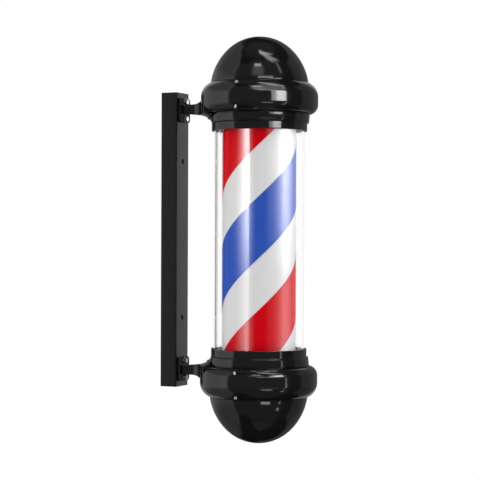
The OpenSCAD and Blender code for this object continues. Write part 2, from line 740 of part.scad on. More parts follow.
wall_channel();
upper_arm();
lower_arm();
arm_bolts();
arm_washers();
arm_nuts();
upper_collar();
lower_collar();
upper_band();
lower_band();
upper_dome();
lower_dome();
collar_screws();
dome_screws();
saddle_screws();
cable_grommet();
glass_tube();
upper_gasket();
lower_gasket();
drum_shell();
red_stripe();
blue_stripe();
drum_top_disc();
drum_bottom_disc();
drum_screws();
motor_shaft();
hub_screw();
upper_plate();
lower_plate();
plate_screws();
top_bush();
lamp_holder();
lamp_screws();
led_lamp();
motor();
motor_screws();
motor_nuts();
thrust_washer();
terminal_block();
terminal_screws();
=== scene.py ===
import json
import math
import bmesh
import bpy
import numpy as np
from mathutils import Matrix, Vector

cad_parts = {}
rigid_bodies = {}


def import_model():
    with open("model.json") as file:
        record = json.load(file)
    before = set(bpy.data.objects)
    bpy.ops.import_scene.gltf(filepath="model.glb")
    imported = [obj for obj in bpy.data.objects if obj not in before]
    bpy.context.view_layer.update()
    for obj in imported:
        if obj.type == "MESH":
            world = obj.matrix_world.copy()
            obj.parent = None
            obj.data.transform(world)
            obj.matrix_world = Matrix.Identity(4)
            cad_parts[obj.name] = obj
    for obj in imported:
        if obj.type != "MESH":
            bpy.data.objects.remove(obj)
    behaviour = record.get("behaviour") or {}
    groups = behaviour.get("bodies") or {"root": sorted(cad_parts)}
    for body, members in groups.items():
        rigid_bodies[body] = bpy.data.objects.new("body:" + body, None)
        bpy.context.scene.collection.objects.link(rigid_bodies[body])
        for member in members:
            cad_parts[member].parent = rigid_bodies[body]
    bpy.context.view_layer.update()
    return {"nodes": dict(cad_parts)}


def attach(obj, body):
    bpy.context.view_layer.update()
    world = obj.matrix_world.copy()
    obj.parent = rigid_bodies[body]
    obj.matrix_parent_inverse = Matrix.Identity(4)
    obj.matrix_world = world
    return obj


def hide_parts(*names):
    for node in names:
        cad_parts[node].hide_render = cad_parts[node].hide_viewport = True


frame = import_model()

# Wall channel. One length of 2 mm steel sheet folded to a U with closed ends,
# powder coated satin black. Two screws through its front hold it to the wall.

# The pieces' sizes are in millimetres, and the scene is in metres
MM = 0.001
# Edges sharper than this many degrees are seen as edges
EDGE_ANGLE = 35.0


def merged_mesh(node, whole_faces=True):
    """The CAD node's triangles as one welded surface: points closer than 2 micrometres become
    one, and, for whole faces, triangles that lie in one plane become one face."""
    source = frame["nodes"][node]
    welded = bmesh.new()
    welded.from_mesh(source.data)
    welded.transform(source.matrix_world)
    bmesh.ops.remove_doubles(welded, verts=welded.verts, dist=2e-6)
    if whole_faces:
        bmesh.ops.dissolve_limit(welded, angle_limit=math.radians(0.6), verts=welded.verts,
                                 edges=welded.edges)
    return welded


def piece(name, mesh, body, replaces, smooth_angle=EDGE_ANGLE):
    """A finished piece at the origin: smooth faces that break at edges sharper than the angle."""
    mesh.shade_smooth()
    mesh.set_sharp_from_angle(angle=math.radians(smooth_angle))
    made = bpy.data.objects.new(name, mesh)
    bpy.context.scene.collection.objects.link(made)
    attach(made, body)
    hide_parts(*replaces)
    return made


def broken_edges(node, name, body, width_mm, segments=2):
    """The CAD node with every edge sharper than EDGE_ANGLE broken by a small round."""
    welded = merged_mesh(node)
    mesh = bpy.data.meshes.new(name)
    welded.to_mesh(mesh)
    welded.free()
    made = piece(name, mesh, body, replaces=[node])
    edge_break = made.modifiers.new("edge_break", "BEVEL")
    edge_break.width = width_mm * MM
    edge_break.segments = segments
    edge_break.limit_method = "ANGLE"
    edge_break.angle_limit = math.radians(EDGE_ANGLE)
    edge_break.harden_normals = True
    return made


def coat(thing, material):
    """Gives a piece or a CAD node one material in all its slots."""
    mesh = thing.data
    if not mesh.materials:
        mesh.materials.append(material)
    for place in thing.material_slots:
        place.material = material


def skin_group(name, inputs, outputs):
    """An empty node group with named sockets; inputs are (name, kind, value)."""
    group = bpy.data.node_groups.new(name, "ShaderNodeTree")
    for label, kind, value in inputs:
        group.interface.new_socket(name=label, in_out="INPUT", socket_type=kind).default_value = value
    for label, kind in outputs:
        group.interface.new_socket(name=label, in_out="OUTPUT", socket_type=kind)
    return group, group.nodes.new("NodeGroupInput"), group.nodes.new("NodeGroupOutput")


def math_node(tree, operation, a, b=None, c=None, clamp=False):
    """The output of a Math node; a, b and c are sockets or plain numbers."""
    node = tree.nodes.new("ShaderNodeMath")
    node.operation = operation
    node.use_clamp = clamp
    for socket, value in zip(node.inputs, (a, b, c)):
        if value is None:
            continue
        if isinstance(value, (int, float)):
            socket.default_value = value
        else:
            tree.links.new(value, socket)
    return node.outputs[0]


def noise_node(tree, place, scale, detail=2.0, roughness=0.5):
    """The output of a Noise node, 0 to 1; the scale is a socket or a plain number."""
    node = tree.nodes.new("ShaderNodeTexNoise")
    tree.links.new(place, node.inputs["Vector"])
    if isinstance(scale, (int, float)):
        node.inputs["Scale"].default_value = scale
    else:
        tree.links.new(scale, node.inputs["Scale"])
    node.inputs["Detail"].default_value = detail
    node.inputs["Roughness"].default_value = roughness
    return node.outputs[0]


def mix_colour(tree, factor, a, b):
    """Colour a where the factor is 0 and colour b where it is 1."""
    node = tree.nodes.new("ShaderNodeMix")
    node.data_type = "RGBA"
    tree.links.new(factor, node.inputs[0])
    for socket, value in ((node.inputs[6], a), (node.inputs[7], b)):
        if isinstance(value, tuple):
            socket.default_value = value
        else:
            tree.links.new(value, socket)
    return node.outputs[2]


# Paint: a faint skin of dust on what faces up, smudges that change the gloss, and the fine
# waves that a sprayed coat dries with (or the grain of a powder coat, when the scale is high).
paint, paint_in, paint_out = skin_group(
    "paint_skin",
    [("Colour", "NodeSocketColor", (0.01, 0.01, 0.01, 1)), ("Dust", "NodeSocketFloat", 0.1),
     ("Roughness", "NodeSocketFloat", 0.1), ("Smudge", "NodeSocketFloat", 0.05),
     ("Wave Scale", "NodeSocketFloat", 300.0)],
    [("Colour", "NodeSocketColor"), ("Roughness", "NodeSocketFloat"), ("Height", "NodeSocketFloat")])
where = paint.nodes.new("ShaderNodeTexCoord").outputs["Object"]
facing = paint.nodes.new("ShaderNodeSeparateXYZ")
paint.links.new(paint.nodes.new("ShaderNodeNewGeometry").outputs["Normal"], facing.inputs[0])
upward = math_node(paint, "POWER", math_node(paint, "MAXIMUM", facing.outputs["Z"], 0.0), 2.0)
specks = math_node(paint, "MULTIPLY", noise_node(paint, where, 900.0, 3.0, 0.7),
                   noise_node(paint, where, 38.0, 3.0))
dust = math_node(paint, "MULTIPLY", math_node(paint, "MULTIPLY", upward, specks),
                 paint_in.outputs["Dust"], clamp=True)
DUST_GREY = (0.45, 0.43, 0.40, 1)
dusted = mix_colour(paint, dust, paint_in.outputs["Colour"], DUST_GREY)
paint.links.new(dusted, paint_out.inputs["Colour"])
patches = math_node(paint, "SUBTRACT", noise_node(paint, where, 14.0, 4.0, 0.6), 0.42)
gloss = math_node(paint, "MULTIPLY_ADD", patches, paint_in.outputs["Smudge"], paint_in.outputs["Roughness"])
dulled = math_node(paint, "ADD", gloss, math_node(paint, "MULTIPLY", dust, 0.6), clamp=True)
paint.links.new(dulled, paint_out.inputs["Roughness"])
waves = noise_node(paint, where, paint_in.outputs["Wave Scale"], 2.0, 0.45)
paint.links.new(waves, paint_out.inputs["Height"])


def skinned(name, group, values, bump_mm, **sockets):
    """A material: the skin group, with its values, feeds the shader's colour, roughness and bump.
    The other sockets named are the shader's own, with _ for a space."""
    material = bpy.data.materials.new(name)
    material.use_nodes = True
    tree = material.node_tree
    shader = tree.nodes["Principled BSDF"]
    for label, value in sockets.items():
        shader.inputs[label.replace("_", " ")].default_value = value
    skin = tree.nodes.new("ShaderNodeGroup")
    skin.node_tree = group
    for label, value in values.items():
        skin.inputs[label].default_value = value
    tree.links.new(skin.outputs["Colour"], shader.inputs["Base Color"])
    tree.links.new(skin.outputs["Roughness"], shader.inputs["Roughness"])
    bump = tree.nodes.new("ShaderNodeBump")
    bump.inputs["Strength"].default_value = 1.0
    bump.inputs["Distance"].default_value = bump_mm * MM
    tree.links.new(skin.outputs["Height"], bump.inputs["Height"])
    tree.links.new(bump.outputs[0], shader.inputs["Normal"])
    return material


powder_coat = skinned("powder_coat_black", paint,
                      {"Colour": (0.005, 0.0051, 0.0057, 1), "Dust": 0.2, "Roughness": 0.35,
                       "Smudge": 0.12, "Wave Scale": 1400.0}, bump_mm=0.03, IOR=1.5)
channel = broken_edges("wall_channel", "wall_channel_folded", "bracket_and_caps", 0.5, 3)
coat(channel, powder_coat)

# Arms. Zinc castings: a flange on the channel, a neck and a saddle that hugs
# the cap. The mould leaves every edge rounded; stove enamelled gloss black.
cast_enamel = skinned("cast_enamel_black", paint,
                      {"Colour": (0.006, 0.006, 0.0065, 1), "Dust": 0.1, "Roughness": 0.16,
                       "Smudge": 0.08, "Wave Scale": 420.0}, bump_mm=0.05, IOR=1.5)


def cast_piece(node, name, body, grain_mm, rounds):
    """The CAD node as the mould gives it: rebuilt on a fine even grain and eased, so that each
    edge gets a small round and each inner corner a small fillet."""
    welded = merged_mesh(node, whole_faces=False)
    mesh = bpy.data.meshes.new(name + "_pattern")
    welded.to_mesh(mesh)
    welded.free()
    pattern = bpy.data.objects.new(name + "_pattern", mesh)
    bpy.context.scene.collection.objects.link(pattern)
    grain = pattern.modifiers.new("grain", "REMESH")
    grain.mode = "VOXEL"
    grain.voxel_size = grain_mm * MM
    ease = pattern.modifiers.new("ease", "SMOOTH")
    ease.factor = 0.5
    ease.iterations = rounds
    made = bpy.data.meshes.new_from_object(pattern.evaluated_get(bpy.context.evaluated_depsgraph_get()))
    made.name = name
    bpy.data.objects.remove(pattern)
    return piece(name, made, body, replaces=[node], smooth_angle=60.0)


for node, name in (("upper_arm", "upper_arm_cast"), ("lower_arm", "lower_arm_cast")):
    coat(cast_piece(node, name, "bracket_and_caps", 0.85, 2), cast_enamel)

# Arm bolts, washers and nuts. M5 hexagon bolts through flange and channel,
# turned steel with bright zinc plate.

# Plated: fine lines that vary the gloss, drawn out along one axis by the stretch, and clouds of
# grey stain.
plated, plated_in, plated_out = skin_group(
    "plated_skin",
    [("Colour", "NodeSocketColor", (0.7, 0.7, 0.7, 1)), ("Stain", "NodeSocketFloat", 0.2),
     ("Roughness", "NodeSocketFloat", 0.25), ("Scratch", "NodeSocketFloat", 0.1),
     ("Stretch", "NodeSocketVector", (1.0, 1.0, 1.0))],
    [("Colour", "NodeSocketColor"), ("Roughness", "NodeSocketFloat"), ("Height", "NodeSocketFloat")])
where = plated.nodes.new("ShaderNodeTexCoord").outputs["Object"]
drawn = plated.nodes.new("ShaderNodeVectorMath")
drawn.operation = "MULTIPLY"
plated.links.new(where, drawn.inputs[0])
plated.links.new(plated_in.outputs["Stretch"], drawn.inputs[1])
lines = noise_node(plated, drawn.outputs[0], 900.0, 4.0, 0.65)
cloud = noise_node(plated, where, 120.0, 3.0, 0.6)
stain = math_node(plated, "MULTIPLY", math_node(plated, "SUBTRACT", cloud, 0.35),
                  plated_in.outputs["Stain"], clamp=True)
STAIN_GREY = (0.30, 0.29, 0.27, 1)
tarnished = mix_colour(plated, stain, plated_in.outputs["Colour"], STAIN_GREY)
plated.links.new(tarnished, plated_out.inputs["Colour"])
stained = math_node(plated, "MULTIPLY_ADD", stain, 0.3, plated_in.outputs["Roughness"])
scratched = math_node(plated, "MULTIPLY_ADD", math_node(plated, "SUBTRACT", lines, 0.5),
                      plated_in.outputs["Scratch"], stained, clamp=True)
plated.links.new(scratched, plated_out.inputs["Roughness"])
plated.links.new(lines, plated_out.inputs["Height"])

zinc_plate = skinned("zinc_plate", plated,
                     {"Colour": (0.74, 0.74, 0.75, 1), "Stain": 0.35, "Roughness": 0.24, "Scratch": 0.12,
                      "Stretch": (1.0, 1.0, 1.0)}, bump_mm=0.01, Metallic=1.0)
for node, width in (("arm_bolts", 0.3), ("arm_washers", 0.2), ("arm_nuts", 0.3)):
    coat(broken_edges(node, node + "_turned", "bracket_and_caps", width), zinc_plate)

# Collars. A plain ring round the tube's end, then a flared ring next to the
# band; each has a ledge for the tube's end. Cast, gloss black enamel.
POLE_Y = -173.0
# Half the angle that the arm's saddle takes of the cap
SADDLE = math.radians(45.4)
# Heights of the collar's mouth, its flared ring, the band's foot and the tube's ledge
MOUTH, RING, FOOT, LEDGE = 180.0, 192.5, 206.5, 197.9
# Radii of the plain ring, the tube's seat, the spigot in the band with its bore, and the ledge's bore
PLAIN_R, SEAT_R, SPIGOT_R, SPIGOT_BORE, LEDGE_BORE = 79.2, 76.3, 77.0, 73.0, 66.0
SPIGOT_TOP = 219.0
# Radii at the flared ring's two edges
FLARE_IN, FLARE_OUT = 82.0, 83.5
# Radius that the collar is cut back to behind the saddle
COLLAR_POCKET = 77.6


def arc(centre, radius, start, end, count):
    """Points on a circle about centre, evenly turned from start to end, in degrees."""
    turn = np.radians(np.linspace(start, end, count))
    return np.stack([centre[0] + radius * np.cos(turn), centre[1] + radius * np.sin(turn)], 1)


def softened(outline, corner_mm, steps=4):
    """A closed outline with its corners rounded. Each corner's arc touches both sides at
    radius / tan(half the corner's angle) from the corner; a radius of 0 leaves the point. Points
    with radius 0 in a straight side hold the shading of a long flat."""
    p = np.asarray(outline, float)
    radius = np.broadcast_to(np.asarray(corner_mm, float), len(p))
    back, on = np.roll(p, 1, 0) - p, np.roll(p, -1, 0) - p
    back_len = np.maximum(np.linalg.norm(back, axis=1), 1e-9)
    on_len = np.maximum(np.linalg.norm(on, axis=1), 1e-9)
    back, on = back / back_len[:, None], on / on_len[:, None]
    half = 0.5 * np.arccos(np.clip((back * on).sum(1), -1, 1))
    straight = (half > math.radians(86)) | (np.minimum(back_len, on_len) < 1e-6)
    half = np.where(straight, math.radians(45), half)
    radius = np.minimum(radius, 0.45 * np.minimum(back_len, on_len) * np.tan(half))
    inward = (back + on) / np.maximum(np.linalg.norm(back + on, axis=1), 1e-9)[:, None]
    centre = p + inward * (radius / np.sin(half))[:, None]
    first = p + back * (radius / np.tan(half))[:, None] - centre
    last = p + on * (radius / np.tan(half))[:, None] - centre
    sweep = math.pi - 2 * half
    t = np.linspace(0, 1, steps + 1)
    swept = (np.sin(np.outer(sweep, 1 - t))[:, :, None] * first[:, None]
             + np.sin(np.outer(sweep, t))[:, :, None] * last[:, None]) / np.sin(sweep)[:, None, None]
    rounds = centre[:, None] + swept
    sharp = straight | (radius < 1e-6)
    rounds[sharp] = p[sharp, None]
    keep = np.ones(rounds.shape[:2], bool)
    keep[sharp, 1:] = False
    return rounds[keep]


def turned(name, section, around, body, replaces, radius=None, height=None, cutters=None,
           open_ends=False):
    """A section (radius, height) in millimetres turned about the pole's axis: the point of row i
    and column j is (r cos a, POLE_Y + r sin a, z). An open-ended section starts and ends on the
    axis; any other closes on itself. Radius and height may be whole grids of their own."""
    r = np.repeat(section[:, :1], len(around), 1) if radius is None else radius
    z = np.repeat(section[:, 1:], len(around), 1) if height is None else height
    points = np.stack([r * np.cos(around), POLE_Y + r * np.sin(around), z], 2).reshape(-1, 3) * MM
    rows, cols = r.shape
    i = np.arange(rows - 1 if open_ends else rows)
    j = np.arange(cols)
    i, j = np.meshgrid(i, j, indexing="ij")
    up, side = (i + 1) % rows, (j + 1) % cols
    quads = np.stack([i * cols + j, i * cols + side, up * cols + side, up * cols + j], 2).reshape(-1, 4)
    shell = bmesh.new()
    mesh = bpy.data.meshes.new(name)
    mesh.from_pydata(points.tolist(), [], quads.tolist())
    shell.from_mesh(mesh)
    bmesh.ops.remove_doubles(shell, verts=shell.verts, dist=1e-6)
    bmesh.ops.dissolve_degenerate(shell, edges=shell.edges, dist=1e-7)
    bmesh.ops.recalc_face_normals(shell, faces=shell.faces)
    shell.to_mesh(mesh)
    shell.free()
    if cutters is not None:
        mesh = drilled(mesh, cutters)
        mesh.name = name
    return piece(name, mesh, body, replaces)


def saddle_flags(count):
    """Column angles all round, with a doubled column at each side of the saddle's pocket, and
    whether each column lies in the pocket. The pocket is centred on +Y, towards the wall."""
    inside = np.linspace(math.pi / 2 - SADDLE, math.pi / 2 + SADDLE, count // 4 + 1)
    outside = np.linspace(math.pi / 2 + SADDLE, 2.5 * math.pi - SADDLE, count - count // 4)
    return np.concatenate([inside, outside]), np.arange(count + 1) < count // 4 + 1


gloss_enamel = skinned("gloss_enamel_black", paint,
                       {"Colour": (0.005, 0.005, 0.0055, 1), "Dust": 0.05, "Roughness": 0.085,
                        "Smudge": 0.05, "Wave Scale": 260.0}, bump_mm=0.02, IOR=1.5)

COLLAR = softened(
    [(SEAT_R, MOUTH), (PLAIN_R, MOUTH), (PLAIN_R, MOUTH + 1.5), (PLAIN_R, RING - 1.2), (PLAIN_R, RING),
     (FLARE_IN, RING + 1), (FLARE_OUT, FOOT), (SPIGOT_R, FOOT), (SPIGOT_R, SPIGOT_TOP),
     (SPIGOT_BORE, SPIGOT_TOP), (SPIGOT_BORE, FOOT), (LEDGE_BORE, FOOT), (LEDGE_BORE, LEDGE),
     (SEAT_R, LEDGE)],
    [0.5, 0.7, 0, 0, 0.6, 0.9, 0.5, 0.3, 0.4, 0.4, 0.4, 0.4, 0.4, 0.4])
around, in_pocket = saddle_flags(256)
cut_back = np.where(in_pocket[None], np.minimum(COLLAR[:, :1], COLLAR_POCKET), COLLAR[:, :1])
for side, node in ((1, "upper_collar"), (-1, "lower_collar")):
    coat(turned(node + "_turned", COLLAR * (1, side), around, "bracket_and_caps",
                [node], radius=cut_back), gloss_enamel)

# Bands. The bulging ring of each cap, cast hollow with a 3.2 mm wall, bosses
# for the cap screws and a recess that takes the arm's saddle; gloss enamel.
WALL = 3.2
# Top of the band, and its radii round the collar's spigot and round the dome's
TOP, FOOT_BORE, TOP_BORE = 260.0, 77.2, 78.0
# Centres and radii of the shoulder's arc and the crown's arc, which bulges furthest
SHOULDER, SHOULDER_R = (81.3, 224.0), 16.0
CROWN, CROWN_R = (71.3, 236.0), 26.0
BAND_R = CROWN[0] + CROWN_R
# Turns on the crown at which the saddle's pocket ends and the crown ends
POCKET_TURN, CROWN_TURN = 7.514, 67.38
# Radius at which the crown's inner face meets the top's underside
INNER_TOP_R = 80.64
# Radii behind the saddle: the pocket's floor outside and the pad's face inside
POCKET_R, PAD_R = 94.9, 91.9
# The pad's lower and upper edge, and half the angle that it takes, in degrees
PAD_LOW, PAD_HIGH, PAD_HALF = 215.0, 243.0, 51.4
# The cap screws' heights, the radii that their recesses start from, and the recesses' own radius
SCREW_LOW, SCREW_HIGH = 215.0, 254.5
SUNK_LOW, SUNK_HIGH = 90.0, 85.2
RECESS_R, BOSS_R = 3.7, 6.0
GROMMET_HOLE_R, GROMMET_Z = 6.1, -230.0


def drilled(mesh, cutters):
    """The mesh with round recesses cut from outside: each cutter is (centre, direction, radius,
    length), a cylinder that starts at centre and has 64 sides."""
    tool = bmesh.new()
    for centre, direction, radius, length in cutters:
        ring = bmesh.ops.create_cone(tool, cap_ends=True, segments=64, radius1=radius * MM,
                                     radius2=radius * MM, depth=length * MM)["verts"]
        turn = direction.to_track_quat("Z", "Y").to_matrix().to_4x4()
        middle = Matrix.Translation((centre + direction * length / 2) * MM)
        bmesh.ops.transform(tool, verts=ring, matrix=middle @ turn)
    tool_mesh = bpy.data.meshes.new("drill")
    tool.to_mesh(tool_mesh)
    tool.free()
    drill = bpy.data.objects.new("drill", tool_mesh)
    blank = bpy.data.objects.new("blank", mesh)
    for thing in (drill, blank):
        bpy.context.scene.collection.objects.link(thing)
    cut = blank.modifiers.new("cut", "BOOLEAN")
    cut.operation = "DIFFERENCE"
    cut.solver = "EXACT"
    cut.object = drill
    made = bpy.data.meshes.new_from_object(blank.evaluated_get(bpy.context.evaluated_depsgraph_get()))
    bpy.data.objects.remove(blank)
    bpy.data.objects.remove(drill)
    return made


outer = np.concatenate([
    [(FOOT_BORE, FOOT), (SHOULDER[0], FOOT), (SHOULDER[0], SHOULDER[1] - SHOULDER_R)],
    arc(SHOULDER, SHOULDER_R, -88, 0, 30),
    np.stack([np.full(6, BAND_R), np.linspace(225.5, 234.5, 6)], 1),
    arc(CROWN, CROWN_R, 0, POCKET_TURN, 4), arc(CROWN, CROWN_R, POCKET_TURN, CROWN_TURN, 36),
    [(TOP_BORE, TOP)]])
inner = np.concatenate([
    [(TOP_BORE, TOP - WALL), (INNER_TOP_R, TOP - WALL)], arc(CROWN, CROWN_R - WALL, 65.5, 0, 18),
    np.stack([np.full(4, BAND_R - WALL), np.linspace(234, 226, 4)], 1),
    arc(SHOULDER, SHOULDER_R - WALL, 0, -90, 16),
    [(FOOT_BORE, SHOULDER[1] - SHOULDER_R + WALL)]])
corners = np.zeros(len(outer) + len(inner))
corners[[0, 1, 2, len(outer) - 2, len(outer) - 1]] = (0.4, 0.5, 0.5, 0.6, 0.4)
BAND = softened(np.concatenate([outer, inner]), corners)
# The section's rows on the outside, and the row on which the saddle's pocket ends
is_outer = np.arange(len(BAND)) < np.argmin(np.abs(BAND - (TOP_BORE, TOP - WALL)).sum(1))
pocket_edge = arc(CROWN, CROWN_R, POCKET_TURN, POCKET_TURN, 1)
step_row = np.argmin(np.abs(BAND - pocket_edge).sum(1) + 100 * ~is_outer)
around, in_pocket = saddle_flags(288)
r, z = (np.repeat(BAND[:, k:k + 1], len(around), 1) for k in (0, 1))
low = np.arange(len(BAND))[:, None] <= step_row
r = np.where(in_pocket[None] & is_outer[:, None] & low, np.minimum(r, POCKET_R), r)
off_wall = np.degrees(np.abs((around - math.pi / 2 + math.pi) % (2 * math.pi) - math.pi))[None]
pad = (off_wall < PAD_HALF) & ~is_outer[:, None] & (z > PAD_LOW) & (z < PAD_HIGH)
r = np.where(pad, np.minimum(r, PAD_R), r)
off_side = r * np.abs(np.sin(around))[None]
for screw in (SCREW_LOW, SCREW_HIGH):
    boss = ~is_outer[:, None] & (np.hypot(off_side, z - screw) < BOSS_R) & (z < TOP - WALL - 0.1)
    r = np.where(boss, np.minimum(r, TOP_BORE), r)

for side, node in ((1, "upper_band"), (-1, "lower_band")):
    cutters = [(Vector((x * sunk, POLE_Y, side * height)), Vector((x, 0, 0)), RECESS_R, 20)
               for x in (-1, 1) for sunk, height in ((SUNK_LOW, SCREW_LOW), (SUNK_HIGH, SCREW_HIGH))]
    if side < 0:
        cutters.append((Vector((88, POLE_Y, GROMMET_Z)), Vector((1, 0, 0)), GROMMET_HOLE_R, 20))
    coat(turned(node + "_turned", BAND, around, "bracket_and_caps", [node], radius=r,
                height=z * side, cutters=cutters), gloss_enamel)

# Domes. Cast shells with a spigot that seats in the band; the outline is a
# flank arc that runs smoothly into a nose arc. Gloss black enamel.
FLANK, FLANK_R = (-12.836, 247.227), 94.8
NOSE, NOSE_R = (0.0, 261.1), 75.9
TIP = NOSE[1] + NOSE_R
# The spigot: inner and outer radius, and lower end
SPIGOT_IN, SPIGOT_OUT, SPIGOT_END = 75.3, 77.8, 246.0
DOME_R = 81.1
# The last two points only guide the rounding of the dome's foot and are dropped
spigot = softened([(77.02, TOP + 5), (SPIGOT_IN, TOP + 5), (SPIGOT_IN, SPIGOT_END), (SPIGOT_OUT, SPIGOT_END),
                   (SPIGOT_OUT, TOP), (DOME_R, TOP), (75.7, TOP + 40), (60, TOP + 40)],
                  [0, 0, 0.4, 0.4, 0.2, 0.35, 0, 0])[:-2]
DOME = np.concatenate([
    [(0, TIP - WALL)], arc(NOSE, NOSE_R - WALL, 89, 48.2, 24), arc(FLANK, FLANK_R - WALL, 46.4, 13.0, 24),
    spigot, arc(FLANK, FLANK_R, 8.3, 46.8, 42), arc(NOSE, NOSE_R, 47.6, 89.3, 40), [(0, TIP)]])
plain_round = np.linspace(0, 2 * math.pi, 256, endpoint=False)
for side, node in ((1, "upper_dome"), (-1, "lower_dome")):
    coat(turned(node + "_turned", DOME * (1, side), plain_round, "bracket_and_caps", [node],
                open_ends=True), gloss_enamel)

# Cap and saddle screws. M4 socket screws, zinc plated; each cap screw sits in
# a recess and holds the band to its collar or its dome.
for node in ("collar_screws", "dome_screws", "saddle_screws"):
    coat(broken_edges(node, node + "_turned", "bracket_and_caps", 0.25), zinc_plate)

# Cable grommet. Black rubber ring snapped into the lower band's wall, with a
# lip on both sides; the mains cable goes through it.

# Moulded: a mottle of a second shade, a gloss that varies with it, and a fine grain.
moulded, moulded_in, moulded_out = skin_group(
    "moulded_skin",
    [("Colour", "NodeSocketColor", (0.8, 0.8, 0.8, 1)), ("Shade", "NodeSocketColor", (0.6, 0.6, 0.6, 1)),
     ("Mottle", "NodeSocketFloat", 0.2), ("Roughness", "NodeSocketFloat", 0.4),
     ("Spread", "NodeSocketFloat", 0.1), ("Grain Scale", "NodeSocketFloat", 1500.0)],
    [("Colour", "NodeSocketColor"), ("Roughness", "NodeSocketFloat"), ("Height", "NodeSocketFloat")])
where = moulded.nodes.new("ShaderNodeTexCoord").outputs["Object"]
cloud = noise_node(moulded, where, 22.0, 4.0, 0.6)
mottle = math_node(moulded, "MULTIPLY", cloud, moulded_in.outputs["Mottle"], clamp=True)
mottled = mix_colour(moulded, mottle, moulded_in.outputs["Colour"], moulded_in.outputs["Shade"])
moulded.links.new(mottled, moulded_out.inputs["Colour"])
uneven = math_node(moulded, "MULTIPLY_ADD", math_node(moulded, "SUBTRACT", cloud, 0.5),
                   moulded_in.outputs["Spread"], moulded_in.outputs["Roughness"], clamp=True)
moulded.links.new(uneven, moulded_out.inputs["Roughness"])
grain = noise_node(moulded, where, moulded_in.outputs["Grain Scale"], 3.0, 0.6)
moulded.links.new(grain, moulded_out.inputs["Height"])

soft_rubber = skinned("soft_rubber_black", moulded,
                      {"Colour": (0.022, 0.022, 0.022, 1), "Shade": (0.06, 0.058, 0.055, 1), "Mottle": 0.35,
                       "Roughness": 0.62, "Spread": 0.2, "Grain Scale": 1800.0}, bump_mm=0.04)
grommet = broken_edges("cable_grommet", "cable_grommet_moulded", "bracket_and_caps", 0.5, 3)
coat(grommet, soft_rubber)

# Tube and its rubber ends. Clear polished tube, 150 mm, with flame-rounded
# ends, that stands in the two collars on rubber.
BORE_R, TUBE_R, TUBE_END = 72.0, 75.0, 196.0


def pipe(inner, outer, end, hold, corner, steps):
    """The section of a pipe that reaches end up and down, with rounded corners, and with rows
    that distance hold from both ends, which keep the long flats' shading flat."""
    row = end - hold
    return softened([(inner, -end), (outer, -end), (outer, -row), (outer, row), (outer, end), (inner, end),
                     (inner, row), (inner, -row)], [corner, corner, 0, 0, corner, corner, 0, 0], steps)


TUBE = pipe(BORE_R, TUBE_R, TUBE_END, hold=2.5, corner=0.8, steps=5)
tube = turned("glass_tube_drawn", TUBE, plain_round, "bracket_and_caps", ["glass_tube"])

# Slow waves from drawing bend what the tube mirrors; the lamps shine through it as through air
clear = bpy.data.materials.new("clear_tube")
clear.use_nodes = True
tree = clear.node_tree
shader = tree.nodes["Principled BSDF"]
shader.inputs["Base Color"].default_value = (1, 1, 1, 1)
shader.inputs["Transmission Weight"].default_value = 1.0
shader.inputs["IOR"].default_value = 1.47
shader.inputs["Roughness"].default_value = 0.0
draw_marks = tree.nodes.new("ShaderNodeGroup")
draw_marks.node_tree = moulded
draw_marks.inputs["Grain Scale"].default_value = 24.0
ripple = tree.nodes.new("ShaderNodeBump")
ripple.inputs["Strength"].default_value = 0.3
ripple.inputs["Distance"].default_value = 0.03 * MM
tree.links.new(draw_marks.outputs["Height"], ripple.inputs["Height"])
tree.links.new(ripple.outputs[0], shader.inputs["Normal"])
lets_lamps_through = tree.nodes.new("ShaderNodeMixShader")
tree.links.new(tree.nodes.new("ShaderNodeLightPath").outputs["Is Shadow Ray"], lets_lamps_through.inputs[0])
tree.links.new(shader.outputs[0], lets_lamps_through.inputs[1])
tree.links.new(tree.nodes.new("ShaderNodeBsdfTransparent").outputs[0], lets_lamps_through.inputs[2])
tree.links.new(lets_lamps_through.outputs[0], tree.nodes["Material Output"].inputs["Surface"])
coat(tube, clear)
for node in ("upper_gasket", "lower_gasket"):
    coat(frame["nodes"][node], soft_rubber)

# Drum. A shell of translucent white plastic, 122 mm, rolled and welded, that
# carries the stripes and turns round the lamp.
SHELL_BORE, SHELL_R, SHELL_END = 60.0, 61.0, 197.0
white_plastic = skinned("drum_white_plastic", moulded,
                        {"Colour": (0.84, 0.835, 0.83, 1), "Shade": (0.78, 0.775, 0.775, 1), "Mottle": 0.25,
                         "Roughness": 0.32, "Spread": 0.08, "Grain Scale": 900.0}, bump_mm=0.01,
                        Specular_IOR_Level=0.1)
SHELL = pipe(SHELL_BORE, SHELL_R, SHELL_END, hold=1.5, corner=0.3, steps=3)
shell = turned("drum_shell_rolled", SHELL, plain_round, "drum", ["drum_shell"])
coat(shell, white_plastic)

# Stripes. Two printed films, red and blue, 98 degrees wide, that climb the
# drum as right-handed helices with one turn in 371 mm.
STRIPE_LEAD, STRIPE_WIDE, STRIPE_PHASE = 371.0, 98.0, 135.7
FILM_BACK, FILM_FACE, FILM_END = 61.18, 61.58, 186.0


